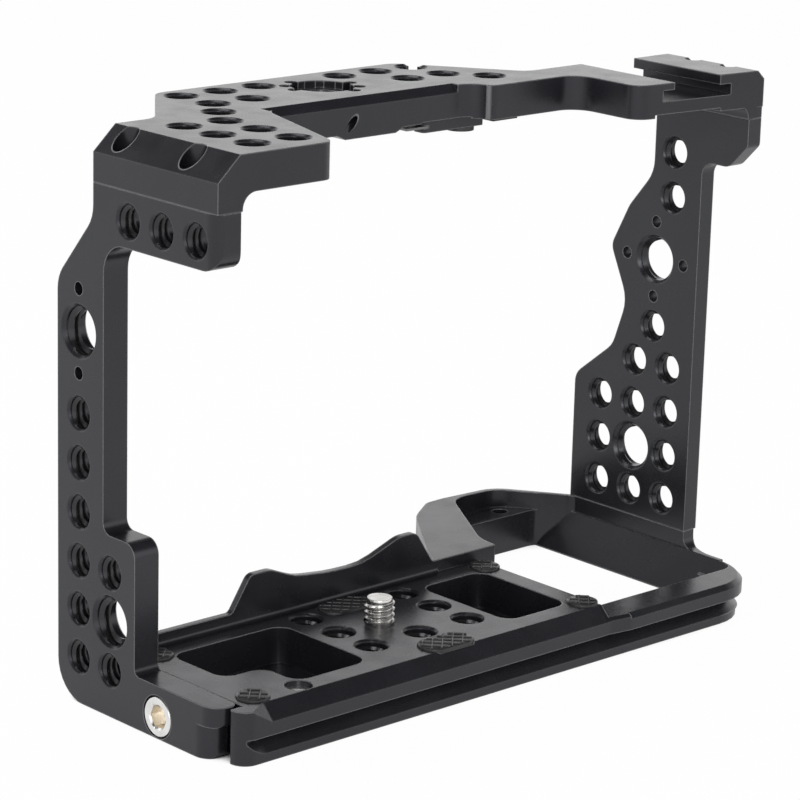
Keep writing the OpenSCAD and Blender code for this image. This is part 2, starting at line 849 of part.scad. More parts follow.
module opening() {
    intersection() {
        slab([
            [open_x, open_rear, open_r],
            [open_right, open_rear, open_r],
            [open_right, open_front - open_cut_y, open_front_r],
            [open_right - open_cut_x, open_front, open_front_r],
            [shelf_bend[0] + (open_front - shelf_bend[1]) * (shelf_end[0] - shelf_bend[0])
                / (shelf_end[1] - shelf_bend[1]), open_front, 0],
            shelf_bend,
            [lip_end + flat_w, base_front - lip_t, 0],
            [open_x, base_front - lip_t, 0]
        ], -base_t - cut, lip_h + cut);
        front_sheet([
            [open_x - cut, lip_h + 2 * cut, 0],
            [open_right + cut, lip_h + 2 * cut, 0],
            [open_right + cut, -rail_drop, 0],
            [open_right, -rail_drop, 0],
            [open_right - open_slope_w, -base_t, 0],
            [open_right - open_slope_w, -base_t - 2 * cut, 0],
            [open_x - cut, -base_t - 2 * cut, 0]
        ], open_rear - cut, open_front + cut);
    }
}

// Bevel along the rear top edge with a slanted facet at each end
module rear_bevel_cut() {
    side_sheet([
        [-base_rear - cut, -rear_bevel - cut, 0],
        [rear_bevel - base_rear + cut, cut, 0],
        [-base_rear - cut, cut, 0]
    ], bevel_x, bevel_end);
    intersection() {
        below_plane([bevel_x - bevel_run, -base_rear, 0],
            [-1 / bevel_run, 1 / rear_bevel, -1 / rear_bevel], base_t);
        translate([bevel_x - bevel_run, -base_rear - cut, -base_t])
            cube([bevel_run + seam, base_t, base_t + cut]);
    }
    intersection() {
        below_plane([bevel_end, -base_rear, -rear_bevel],
            [1 / bevel_end_run, 1 / rear_bevel, -1 / rear_bevel], base_t);
        translate([bevel_end - seam, -base_rear - cut, -base_t]) cube([base_t, base_t, base_t + cut]);
    }
}

// Chamfer along the rail and round its corner
module rail_chamfer() {
    rail_y = -base_rear - rail_out;
    side_sheet([
        [rail_y - cut, -rail_drop - rail_bevel - cut, 0],
        [rail_y + rail_bevel + cut, -rail_drop + cut, 0],
        [rail_y - cut, -rail_drop + cut, 0]
    ], rail_step_x + rail_step_l, loop_right - loop_r);
    translate([loop_right - loop_r, rail_y + loop_r, -rail_drop]) intersection() {
        rotate_extrude() polygon([
            [loop_r + cut, -rail_bevel - cut],
            [loop_r + cut, cut],
            [loop_r - rail_bevel - cut, cut]
        ]);
        translate([0, -2 * loop_r, -base_t]) cube([2 * loop_r, 2 * loop_r, 2 * base_t]);
    }
}

// Dovetail groove along the rear face and round the corner, and the one under the front lip
module grooves() {
    rail_y = -base_rear - rail_out;
    lip_y = groove_d - base_rear;
    out_y = rail_y - cut;
    profile_r = [loop_r - rail_out, loop_r - rail_out - groove_d, loop_r + cut];
    side_sheet([
        [out_y, -groove_top, 0],
        [lip_y, -groove_top, 0],
        [lip_y, groove_d - groove_low, 0],
        [-base_rear, -groove_low, 0],
        [out_y, -groove_low, 0]
    ], groove_x, loop_right - loop_r);
    translate([groove_x, lip_y - groove_end_r, -groove_low]) {
        cylinder(r1 = groove_end_r - groove_d, r2 = groove_end_r, h = groove_d);
        translate([0, 0, groove_d]) cylinder(r = groove_end_r, h = groove_low - groove_top - groove_d);
    }
    translate([loop_right - loop_r, rail_y + loop_r, 0]) intersection() {
        rotate_extrude() polygon([
            [profile_r[2], -groove_top],
            [profile_r[1], -groove_top],
            [profile_r[1], groove_d - groove_low],
            [profile_r[0], -groove_low],
            [profile_r[2], -groove_low]
        ]);
        translate([0, -2 * loop_r, -base_t]) cube([2 * loop_r, 2 * loop_r, 2 * base_t]);
    }
    front_sheet([
        [loop_right - loop_r + profile_r[2], -groove_top, 0],
        [loop_right - loop_r + profile_r[1], -groove_top, 0],
        [loop_right - loop_r + profile_r[1], groove_d - groove_low, 0],
        [loop_right - loop_r + profile_r[0], -groove_low, 0],
        [loop_right - loop_r + profile_r[2], -groove_low, 0]
    ], rail_y + loop_r, groove_stop_y);
    side_sheet([
        [base_front + cut, -groove_top, 0],
        [dovetail_front - front_groove_d, -groove_top, 0],
        [dovetail_front - front_groove_d, front_groove_d - groove_low, 0],
        [dovetail_front, -groove_low, 0],
        [dovetail_front, -base_t - cut, 0],
        [base_front + cut, -base_t - cut, 0]
    ], base_x - cut, front_groove_end);
}

module pockets() {
    low = pocket_floor - base_t;
    slab([
        [left_pocket_x, pocket_front, pocket_r],
        [left_pocket_end, pocket_front, pocket_r],
        [left_pocket_end, pocket_rear, pocket_r],
        [left_pocket_x + left_pocket_step_x, pocket_rear, pocket_r],
        [left_pocket_x + left_pocket_step_x, left_pocket_step_y, pocket_r],
        [left_pocket_x, left_pocket_step_y, pocket_r]
    ], low, cut);
    slab([
        [right_pocket_x, pocket_front, pocket_r],
        [right_pocket_end, pocket_front, pocket_r],
        [right_pocket_end, pocket_rear, pocket_r],
        [right_pocket_x, pocket_rear, pocket_r]
    ], low, cut);
}

module base_holes() {
    for (i = [-1, 1], j = [-1:1])
        translate([i * column_x, j * hole_pitch, -base_t]) small_hole(base_t);
    translate([0, -hole_pitch, -base_t]) small_hole(base_t);
    translate([stud_x, stud_y, -base_t - cut]) {
        cylinder(d = stud_d + 2 * stud_fit, h = base_t + 2 * cut);
        cylinder(d = stud_head_d + 2 * head_gap, h = cut + base_t + roof_z);
    }
    translate([magnet_x, magnet_y, -magnet_drop - magnet_h])
        cylinder(d = magnet_d, h = magnet_h + magnet_drop + cut);
    translate([shelf_hole_x, shelf_hole_y, -base_t - cut]) cylinder(d = shelf_hole_d, h = base_t + 2 * cut);
    at_side(left_in, [foot_screw_y, foot_screw_z])
        cylinder(d = foot_thread_d, h = foot_bite + foot_head_room);
    for (p = foot_places) translate([p[0], p[1], foot_cap_z]) rotate([180, 0, 0])
        cap_room_cut(side_cap_d + 2 * side_cap_room, base_t, side_thread_d, side_web);
}

module pad_room() {
    for (p = round_pads) translate([p[0], p[1], -pad_sunk]) cylinder(d = pad_d + 2 * seam, h = pad_h + cut);
    for (p = oval_pads) translate([p[0], p[1], -pad_sunk])
        oval(oval_l + 2 * seam, oval_w + 2 * seam, pad_h + cut);
}

module base_plate() {
    color(black) difference() {
        union() {
            base_slab();
            loop();
            flat_and_rim();
            lip();
        }
        opening();
        rear_bevel_cut();
        rail_chamfer();
        grooves();
        pockets();
        base_holes();
        pad_room();
    }
}

// Camera screw

module camera_screw() {
    head_low = roof_z - seam - ring_t - stud_head_h;
    color(steel) translate([stud_x, stud_y, head_low]) difference() {
        union() {
            cylinder(d = stud_head_d, h = stud_head_h);
            cylinder(d = stud_neck_d, h = stud_foot + stud_tip - head_low);
            translate([0, 0, stud_foot - head_low])
                cylinder(d = stud_d, h = stud_rise - stud_tip - stud_foot);
            translate([0, 0, stud_rise - stud_tip - head_low])
                cylinder(d1 = stud_d, d2 = stud_d - 2 * stud_tip, h = stud_tip);
        }
        translate([-stud_head_d / 2 - cut, -stud_slot_w / 2, -cut])
            cube([stud_head_d + 2 * cut, stud_slot_w, stud_slot_d + cut]);
    }
}

module screw_retainer() {
    color(black) translate([stud_x, stud_y, roof_z - seam - ring_t]) difference() {
        cylinder(d = stud_neck_d + 2 * stud_fit + 2 * ring_w, h = ring_t);
        translate([0, 0, -cut]) cylinder(d = stud_neck_d + 2 * stud_fit, h = ring_t + 2 * cut);
    }
}

// Pads

module oval(l, w, h) {
    translate([(w - l) / 2, 0, 0]) cylinder(d = w, h = h);
    translate([(l - w) / 2, 0, 0]) cylinder(d = w, h = h);
    translate([(w - l) / 2, -w / 2, 0]) cube([l - w, w, h]);
}

// Crossed ribs over an area, to be cut to the pad's outline
module ribs(l, w) {
    step = rib_w + rib_gap;
    for (i = [-floor(l / 2 / step):floor(l / 2 / step)])
        translate([i * step - rib_w / 2, -w / 2, 0]) cube([rib_w, w, rib_h + seam]);
    for (i = [-floor(w / 2 / step):floor(w / 2 / step)])
        translate([-l / 2, i * step - rib_w / 2, 0]) cube([l, rib_w, rib_h + seam]);
}

module round_pad(place) {
    color(rubber) translate([place[0], place[1], -pad_sunk]) {
        cylinder(d = pad_d, h = pad_h);
        translate([0, 0, pad_h - seam]) intersection() {
            cylinder(d = pad_d - rib_w, h = rib_h + seam);
            ribs(pad_d, pad_d);
        }
    }
}

module oval_pad(place) {
    color(rubber) translate([place[0], place[1], -pad_sunk]) {
        oval(oval_l, oval_w, pad_h);
        translate([0, 0, pad_h - seam]) intersection() {
            oval(oval_l - rib_w, oval_w - rib_w, rib_h + seam);
            ribs(oval_l, oval_w);
        }
    }
}

module pad_front_left() { round_pad(round_pads[0]); }
module pad_rear_left() { round_pad(round_pads[1]); }
module pad_front_right() { round_pad(round_pads[2]); }
module pad_rear_right() { round_pad(round_pads[3]); }
module pad_centre_front() { oval_pad(oval_pads[0]); }
module pad_centre_rear() { oval_pad(oval_pads[1]); }

// Screws and the key magnet

module foot_screw() {
    color(steel) at_side(left_x, [foot_screw_y, foot_screw_z])
        translate([0, 0, foot_head_h]) rotate([180, 0, 0])
        cap_screw(foot_head_d, foot_head_h - seam, foot_thread_d, left_t - foot_head_h + foot_bite,
            foot_socket, foot_socket_d);
}

module top_left_screws() {
    color(steel) for (p = top_left_places) translate([p[0], p[1], top_left_cap_z])
        cap_screw(cap_d, cap_h, cap_thread_d, cap_web + cap_bite, cap_socket, cap_socket_h);
}

module top_right_screws() {
    color(steel) for (p = top_right_places) translate([p[0], p[1], top_right_cap_z])
        cap_screw(side_cap_d, side_cap_h, side_thread_d, cap_web + cap_bite, side_socket, side_socket_h);
}

module right_foot_screws() {
    color(steel) for (p = foot_places) translate([p[0], p[1], foot_cap_z]) rotate([180, 0, 0])
        cap_screw(side_cap_d, side_cap_h, side_thread_d, side_web + cap_bite, side_socket, side_socket_h);
}

module key_magnet() {
    color(steel) translate([magnet_x, magnet_y, -magnet_drop - magnet_h])
        cylinder(d = magnet_d - 2 * seam, h = magnet_h);
}

// Locator under the bar

module locator() {
    top = cage_top - top_t + locator_sink - seam;
    low = cage_top - top_t - locator_h;
    color(black) difference() {
        slab([
            [locator_x, locator_y, locator_cut / 4],
            [locator_x + locator_l, locator_y, locator_cut / 4],
            [locator_x + locator_l, locator_y + locator_w, 0],
            [locator_x + locator_cut, locator_y + locator_w, 0],
            [locator_x, locator_y + locator_w - locator_cut, 0]
        ], low, top);
        translate([knob_x, locator_y + knob_inset, low - cut])
            cylinder(d = knob_thread_d + 2 * slack, h = top - low + 2 * cut);
        translate([locator_x - cut, locator_y, low + strip_drop])
            cube([cut + strip_hold, strip_w, strip_t + seam]);
    }
}

module locator_screw() {
    low = cage_top - top_t - locator_h;
    color(steel) translate([knob_x, locator_y + knob_inset, low]) {
        translate([0, 0, -knob_h]) cylinder(d = knob_d, h = knob_h - seam);
        translate([0, 0, -knob_h])
            cylinder(d = knob_thread_d, h = knob_h + locator_h + locator_sink + knob_bite);
    }
}

module locator_spring() {
    low = cage_top - top_t - locator_h;
    color(steel) translate([locator_x - strip_l, locator_y + seam, low + strip_drop])
        cube([strip_l + strip_hold - seam, strip_w - 2 * seam, strip_t]);
}

module arm_pad() {
    under = cage_top - top_t;
    color(rubber) translate([arm_pad_x + seam, arm_pad_y + seam, under + arm_pad_sunk - arm_pad_t - seam])
        cube([arm_pad_l - 2 * seam, arm_pad_w - 2 * seam, arm_pad_t]);
}

base_plate();
left_plate();
top_plate();
right_plate();
camera_screw();
screw_retainer();
pad_front_left();
pad_rear_left();
pad_front_right();
pad_rear_right();
pad_centre_front();
pad_centre_rear();
foot_screw();
top_left_screws();
top_right_screws();
right_foot_screws();
key_magnet();
locator();
locator_screw();
locator_spring();
arm_pad();
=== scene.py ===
from math import cos, pi, radians, sin, tau

import bmesh
import bpy
from mathutils import Matrix, Vector


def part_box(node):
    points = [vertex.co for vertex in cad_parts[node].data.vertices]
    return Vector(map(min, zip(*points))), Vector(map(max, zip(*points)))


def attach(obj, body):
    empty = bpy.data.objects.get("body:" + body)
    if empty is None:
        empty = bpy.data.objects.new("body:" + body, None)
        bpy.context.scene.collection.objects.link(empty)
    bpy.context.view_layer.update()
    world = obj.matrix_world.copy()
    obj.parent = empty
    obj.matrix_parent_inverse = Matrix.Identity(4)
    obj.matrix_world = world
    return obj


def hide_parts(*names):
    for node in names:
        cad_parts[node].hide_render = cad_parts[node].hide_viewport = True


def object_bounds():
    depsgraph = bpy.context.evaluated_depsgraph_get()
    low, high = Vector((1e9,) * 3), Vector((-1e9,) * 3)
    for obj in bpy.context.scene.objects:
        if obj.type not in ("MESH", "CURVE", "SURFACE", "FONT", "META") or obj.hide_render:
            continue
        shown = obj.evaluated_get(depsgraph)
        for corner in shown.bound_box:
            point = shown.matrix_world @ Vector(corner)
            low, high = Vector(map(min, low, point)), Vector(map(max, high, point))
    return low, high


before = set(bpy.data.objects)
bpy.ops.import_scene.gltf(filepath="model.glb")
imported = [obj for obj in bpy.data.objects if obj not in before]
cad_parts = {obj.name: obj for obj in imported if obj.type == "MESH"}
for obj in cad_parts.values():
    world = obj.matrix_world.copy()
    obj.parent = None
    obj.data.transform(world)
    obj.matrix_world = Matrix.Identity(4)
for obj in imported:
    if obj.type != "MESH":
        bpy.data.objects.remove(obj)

cad_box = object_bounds()

# Camera. It looks from the operator's side at the left rear corner, a little from above,
# with the long lens and the slight roll that the fitted view gives.
MM = 0.001
view_azimuth, view_elevation, view_roll = -0.7465, 0.2694, 0.0270
view_x, view_y, view_z = -426.664, -463.365, 220.395
view_back = Vector((sin(view_azimuth) * cos(view_elevation),
                    -cos(view_azimuth) * cos(view_elevation), sin(view_elevation)))
level_right = Vector((cos(view_azimuth), sin(view_azimuth), 0))
level_up = view_back.cross(level_right)
image_right = level_right * cos(view_roll) + level_up * sin(view_roll)
image_up = level_up * cos(view_roll) - level_right * sin(view_roll)
lens = bpy.data.cameras.new("camera")
lens.lens = 146.32
lens.sensor_width = 36
lens.clip_end = 20
camera = bpy.data.objects.new("camera", lens)
camera.matrix_world = Matrix((
    (image_right.x, image_up.x, view_back.x, view_x * MM),
    (image_right.y, image_up.y, view_back.y, view_y * MM),
    (image_right.z, image_up.z, view_back.z, view_z * MM),
    (0, 0, 0, 1)))
bpy.context.scene.collection.objects.link(camera)
bpy.context.scene.camera = camera
bpy.context.scene.view_settings.view_transform = "Standard"

# Studio. A white floor under the cage, a broad soft lamp overhead and a softer one from the
# operator's side; the sky is bright near the horizon and darker above, as in a light tent.
world = bpy.data.worlds.new("studio")
bpy.context.scene.world = world
world.use_nodes = True
sky = world.node_tree.nodes
sky_links = world.node_tree.links
sky.clear()
sky_place = sky.new("ShaderNodeTexCoord")
sky_split = sky.new("ShaderNodeSeparateXYZ")
sky_ramp = sky.new("ShaderNodeValToRGB")
horizon, overhead = sky_ramp.color_ramp.elements
horizon.position = 0.36
horizon.color = (1, 1, 1, 1)
overhead.position = 0.60
overhead.color = (0.07, 0.07, 0.075, 1)
sky_light = sky.new("ShaderNodeBackground")
sky_light.inputs["Strength"].default_value = 1.3
sky_white = sky.new("ShaderNodeBackground")
sky_white.inputs["Color"].default_value = (1, 1, 1, 1)
sky_path = sky.new("ShaderNodeLightPath")
sky_mix = sky.new("ShaderNodeMixShader")
sky_out = sky.new("ShaderNodeOutputWorld")
sky_links.new(sky_place.outputs["Generated"], sky_split.inputs[0])
sky_links.new(sky_split.outputs["Z"], sky_ramp.inputs[0])
sky_links.new(sky_ramp.outputs["Color"], sky_light.inputs["Color"])
sky_links.new(sky_path.outputs["Is Camera Ray"], sky_mix.inputs[0])
sky_links.new(sky_light.outputs[0], sky_mix.inputs[1])
sky_links.new(sky_white.outputs[0], sky_mix.inputs[2])
sky_links.new(sky_mix.outputs[0], sky_out.inputs["Surface"])
lamp_aim = Vector((0, 0, 0.04))


def soft_lamp(name, place, size, watts):
    lamp = bpy.data.lights.new(name, "AREA")
    lamp.shape = "DISK"
    lamp.size = size
    lamp.energy = watts
    holder = bpy.data.objects.new(name, lamp)
    holder.location = place
    holder.rotation_euler = (lamp_aim - Vector(place)).to_track_quat("-Z", "Y").to_euler()
    bpy.context.scene.collection.objects.link(holder)


soft_lamp("overhead_lamp", (-0.1, 0.25, 0.95), size=0.7, watts=4)
soft_lamp("operator_lamp", (-0.75, -0.85, 0.45), size=0.5, watts=2.2)


def share_of(nodes, links, source, share):
    part = nodes.new("ShaderNodeMath")
    part.operation = "MULTIPLY"
    part.inputs[1].default_value = share
    links.new(source, part.inputs[0])
    return part.outputs[0]


def white_floor():
    # The camera and reflections see it glow white; close under the cage and in the holes the glow fades
    # with ambient occlusion, a painted shadow.
    material = bpy.data.materials.new("floor_white")
    material.use_nodes = True
    nodes, links = material.node_tree.nodes, material.node_tree.links
    base = nodes["Principled BSDF"]
    base.inputs["Base Color"].default_value = (0.86, 0.86, 0.86, 1)
    base.inputs["Roughness"].default_value = 0.85
    base.inputs["Specular IOR Level"].default_value = 0.2
    glow = nodes.new("ShaderNodeEmission")
    # Painted shadow: the glow is dimmed where ambient occlusion finds the floor sheltered by the cage.
    painted_shadow_ao = nodes.new("ShaderNodeAmbientOcclusion")
    painted_shadow_ao.samples = 12
    painted_shadow_ao.inputs["Distance"].default_value = 14 * MM
    painted_shadow_dimming = nodes.new("ShaderNodeMapRange")
    painted_shadow_dimming.inputs["From Min"].default_value = 0.12
    painted_shadow_dimming.inputs["From Max"].default_value = 0.42
    links.new(painted_shadow_ao.outputs["AO"], painted_shadow_dimming.inputs["Value"])
    links.new(painted_shadow_dimming.outputs["Result"], glow.inputs["Strength"])
    path = nodes.new("ShaderNodeLightPath")
    either = nodes.new("ShaderNodeMath")
    either.operation = "MAXIMUM"
    links.new(share_of(nodes, links, path.outputs["Is Camera Ray"], 0.98), either.inputs[0])
    links.new(share_of(nodes, links, path.outputs["Is Glossy Ray"], 0.7), either.inputs[1])
    mix = nodes.new("ShaderNodeMixShader")
    links.new(either.outputs[0], mix.inputs[0])
    links.new(base.outputs[0], mix.inputs[1])
    links.new(glow.outputs[0], mix.inputs[2])
    links.new(mix.outputs[0], nodes["Material Output"].inputs["Surface"])
    return material


floor_half = 4
floor_drop = 0.02 * MM
floor_mesh = bpy.data.meshes.new("floor")
plan = bmesh.new()
bmesh.ops.create_grid(plan, x_segments=1, y_segments=1, size=floor_half)
bmesh.ops.translate(plan, vec=(0, 0, cad_box[0][2] - floor_drop), verts=plan.verts)
plan.to_mesh(floor_mesh)
plan.free()
floor = bpy.data.objects.new("floor", floor_mesh)
bpy.context.scene.collection.objects.link(floor)
floor_mesh.materials.append(white_floor())


# Plates. Milled from aluminium, bead-blasted, anodised black and screwed together; a fine light
# line along their edges is a painted highlight in the colour, and the grain of the blasting shows
# on the slopes. The locator under the bar is made the same way and clamped by its own screw.
def node_kit(name):
    material = bpy.data.materials.new(name)
    material.use_nodes = True
    return material, material.node_tree.nodes, material.node_tree.links


def object_noise(nodes, links, scale, detail):
    place = nodes.new("ShaderNodeTexCoord")
    noise = nodes.new("ShaderNodeTexNoise")
    noise.inputs["Scale"].default_value = scale
    noise.inputs["Detail"].default_value = detail
    links.new(place.outputs["Object"], noise.inputs["Vector"])
    return noise.outputs["Fac"]


def tone_ramp(nodes, links, source, low, high):
    tones = nodes.new("ShaderNodeValToRGB")
    dark_end, pale_end = tones.color_ramp.elements
    dark_end.position = 0.35
    dark_end.color = (*low, 1)
    pale_end.position = 0.65
    pale_end.color = (*high, 1)
    links.new(source, tones.inputs[0])
    return tones.outputs["Color"]


def spread(nodes, links, source, low, high):
    scale = nodes.new("ShaderNodeMapRange")
    scale.inputs["From Min"].default_value = 0.3
    scale.inputs["From Max"].default_value = 0.7
    scale.inputs["To Min"].default_value = low
    scale.inputs["To Max"].default_value = high
    links.new(source, scale.inputs["Value"])
    return scale.outputs["Result"]


def grain_bump(nodes, links, base, source, strength, depth, edge):
    bump = nodes.new("ShaderNodeBump")
    bump.inputs["Strength"].default_value = strength
    bump.inputs["Distance"].default_value = depth
    links.new(source, bump.inputs["Height"])
    if edge:
        soft = nodes.new("ShaderNodeBevel")
        soft.samples = 6
        soft.inputs["Radius"].default_value = edge
        links.new(soft.outputs["Normal"], bump.inputs["Normal"])
    links.new(bump.outputs["Normal"], base.inputs["Normal"])


# Painted highlight: along convex edges, found by ambient occlusion from inside, the colour is mixed
# towards a light grey, standing in for the shine of the rounded edges.
def painted_edge_highlight(nodes, links, color, highlight_color, reach):
    near = nodes.new("ShaderNodeAmbientOcclusion")
    near.inside = True
    near.only_local = True
    near.samples = 8
    near.inputs["Distance"].default_value = reach
    highlight_mask = nodes.new("ShaderNodeMapRange")
    highlight_mask.inputs["From Min"].default_value = 0.86
    highlight_mask.inputs["From Max"].default_value = 0.58
    links.new(near.outputs["AO"], highlight_mask.inputs["Value"])
    mix = nodes.new("ShaderNodeMix")
    mix.data_type = "RGBA"
    mix.inputs["B"].default_value = (*highlight_color, 1)
    links.new(highlight_mask.outputs["Result"], mix.inputs["Factor"])
    links.new(color, mix.inputs["A"])
    return mix.outputs["Result"]


def anodised(name, dark, pale, rough_low, rough_high, edge):
    material, nodes, links = node_kit(name)
    base = nodes["Principled BSDF"]
    base.inputs["IOR"].default_value = 1.52
    base.inputs["Specular Tint"].default_value = (0.93, 0.94, 1, 1)
    color = tone_ramp(nodes, links, object_noise(nodes, links, 45, 3), dark, pale)
    # Where a bevel radius is given, the convex edges get the painted highlight in their colour.
    if edge:
        color = painted_edge_highlight(nodes, links, color, (0.2, 0.2, 0.205), 0.3 * MM)
    links.new(color, base.inputs["Base Color"])
    links.new(spread(nodes, links, object_noise(nodes, links, 160, 4), rough_low, rough_high),
              base.inputs["Roughness"])
    grain_bump(nodes, links, base, object_noise(nodes, links, 3600, 2), 0.35, 0.012 * MM, edge)
    return material


black_anodised = anodised("black_anodised", (0.011, 0.011, 0.0135), (0.0155, 0.0157, 0.019),
                          0.23, 0.3, 0.45 * MM)


def linked_piece(name, mesh, sharp_degrees):
    piece = bpy.data.objects.new(name, mesh)
    bpy.context.scene.collection.objects.link(piece)
    for face in mesh.polygons:
        face.use_smooth = True
    mesh.set_sharp_from_angle(angle=radians(sharp_degrees))
    return piece


def merged_copy(node, name, material, body="cage"):
    # The stored normals would hide the sharp edges, so the copy goes without them.
    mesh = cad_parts[node].data.copy()
    mesh.attributes.remove(mesh.attributes["custom_normal"])
    shape = bmesh.new()
    shape.from_mesh(mesh)
    bmesh.ops.remove_doubles(shape, verts=shape.verts, dist=0.002 * MM)
    bmesh.ops.dissolve_degenerate(shape, dist=0.004 * MM, edges=shape.edges)
    bmesh.ops.dissolve_limit(shape, angle_limit=radians(0.6), verts=shape.verts, edges=shape.edges)
    shape.to_mesh(mesh)
    shape.free()
    mesh.materials.clear()
    mesh.materials.append(material)
    piece = linked_piece(name, mesh, 32)
    even = piece.modifiers.new("even", "WEIGHTED_NORMAL")
    even.keep_sharp = True
    even.weight = 80
    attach(piece, body)
    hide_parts(node)
    return piece


keyed_x, keyed_y = 3.3, 27.1
recess_r = 6.6
recess_rim = 6.62
notch_reach = 9.2
above_recess_floor = 104.0
near_and_far = 0.62
for plate in ("left_plate", "right_plate", "top_plate", "base_plate", "locator"):
    piece = merged_copy(plate, "milled_" + plate, black_anodised)
    if plate == "top_plate":
        # The keyed recess keeps its notches at the sides; those at its near and far walls close.
        recess = Vector((keyed_x, keyed_y, 0)) * MM
        for corner in piece.data.vertices:
            away = corner.co - recess
            away.z = 0
            side = abs(away.x * level_right.x + away.y * level_right.y)
            if (corner.co.z > above_recess_floor * MM
                    and recess_rim * MM < away.length < notch_reach * MM
                    and side < near_and_far * away.length):
                corner.co.xy = (recess + away.normalized() * recess_r * MM).xy


# Threads. Each accessory hole is tapped: a right-handed ridge with sloping flanks winds
# through the bore between its two chamfered mouths.
quarter_pitch = 1.27
quarter_inch = {"bore": 6.4, "mouth": 7.3, "pitch": quarter_pitch}
three_eighths = {"bore": 9.6, "mouth": 11.0, "pitch": 1.5875}
ridge_depth_share = 0.54
ridge_sunk = 0.04
root_half = 0.46
crest_half = 0.07
run_out = 0.9
least_turns = 0.5
steps_a_turn = 28
fade_steps = 6
least_fade = 0.02


def winding_ridge(shape, radius, pitch, depth, length, frame_of_hole, outward=False):
    start = bmesh.new()
    sign = -1 if outward else 1
    wall = radius + sign * ridge_sunk
    tip = radius - sign * depth
    profile = [(wall, -root_half), (tip, -crest_half), (tip, crest_half), (wall, root_half)]
    ring = [start.verts.new((r * MM, 0, z * pitch * MM)) for r, z in profile]
    rim = [start.edges.new((ring[i], ring[(i + 1) % 4])) for i in range(4)]
    turns = max(length / pitch - run_out, least_turns)
    steps = int(steps_a_turn * turns)
    swept = bmesh.ops.spin(start, geom=ring + rim, cent=(0, 0, 0), axis=(0, 0, 1),
                           dvec=(0, 0, turns * pitch * MM / steps), angle=turns * tau, steps=steps,
                           use_merge=False, use_duplicate=False)
    last = [v for v in swept["geom_last"] if isinstance(v, bmesh.types.BMVert)]
    for number, corner in enumerate(start.verts):
        step, place = divmod(number, 4)
        if place in (1, 2):
            shallow = max(least_fade, min(1, step / fade_steps, (steps - step) / fade_steps))
            reach = wall + (tip - wall) * shallow
            corner.co.xy = corner.co.xy.normalized() * reach * MM
    bmesh.ops.contextual_create(start, geom=ring)
    bmesh.ops.contextual_create(start, geom=last)
    bmesh.ops.translate(start, vec=(0, 0, root_half * pitch * MM), verts=start.verts)
    bmesh.ops.recalc_face_normals(start, faces=start.faces)
    bmesh.ops.transform(start, matrix=frame_of_hole, verts=start.verts)
    passing = bpy.data.meshes.new("ridge")
    start.to_mesh(passing)
    start.free()
    shape.from_mesh(passing)
    bpy.data.meshes.remove(passing)


def hole_frame(place, along):
    turn = {"x": Matrix.Rotation(pi / 2, 4, "Y"), "z": Matrix.Identity(4)}[along]
    return Matrix.Translation(Vector(place) * MM) @ turn


def thread_piece(name, holes, material):
    shape = bmesh.new()
    for kind, place, along, thick in holes:
        sink = (kind["mouth"] - kind["bore"]) / 2
        start = Vector(place)
        start[0 if along == "x" else 2] += sink
        winding_ridge(shape, kind["bore"] / 2, kind["pitch"], ridge_depth_share * kind["pitch"],
                      thick - 2 * sink, hole_frame(start, along))
    mesh = bpy.data.meshes.new(name)
    shape.to_mesh(mesh)
    shape.free()
    mesh.materials.append(material)
    piece = linked_piece(name, mesh, 35)
    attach(piece, "cage")


thread_black = anodised("thread_black", (0.012, 0.012, 0.0125), (0.018, 0.018, 0.0185),
                        0.16, 0.24, 0)
left_x, left_t = -61.1, 5.9
right_in, right_t = 88.3, 3.9
top_t = 7.2
top_low = 105.9 - top_t
base_t = 10.8
row_pitch = 10
base_step = 13.2
base_holes = [(quarter_inch, (i * base_step, j * row_pitch, -base_t), "z", base_t)
              for i in (-1, 1) for j in (-1, 0, 1)]
base_holes.append((quarter_inch, (0, -row_pitch, -base_t), "z", base_t))

left_front, left_rear, left_mid = 23.3, 13.3, 8.8
wing_y, wing_z = -2, 89.4
left_large_z = 65.2
left_holes = [(quarter_inch, (left_x, left_front, left_mid + i * row_pitch), "x", left_t)
              for i in range(-1, 5)]
left_holes += [(quarter_inch, (left_x, left_rear, left_mid + i * row_pitch), "x", left_t)
               for i in (-1, 1)]
left_holes += [(quarter_inch, (left_x, wing_y + i * row_pitch, wing_z), "x", left_t)
               for i in (-1, 0, 1)]
left_holes += [(three_eighths, (left_x, left_rear, left_mid), "x", left_t),
               (three_eighths, (left_x, left_front, left_large_z), "x", left_t)]

right_y, right_z = 16.8, 17.4
right_row_z = 37.4
right_step = (11.8, 46.1)
right_top_y = 7.6
right_large = (12, 1.5 + 0.63 * 94.8)
right_holes = [(quarter_inch, (right_in, right_y + i * row_pitch, right_z + j * row_pitch), "x", right_t)
               for i in (-1, 0, 1) for j in (-1, 0, 1) if i or j]
right_holes += [(quarter_inch, (right_in, y, right_row_z), "x", right_t) for y in (6.8, right_y)]
right_holes.append((quarter_inch, (right_in, *right_step), "x", right_t))
right_holes += [(quarter_inch, (right_in, right_top_y, z), "x", right_t) for z in (85.8, 75.8)]
right_holes += [(three_eighths, (right_in, right_y, right_z), "x", right_t),
                (three_eighths, (right_in, *right_large), "x", right_t)]

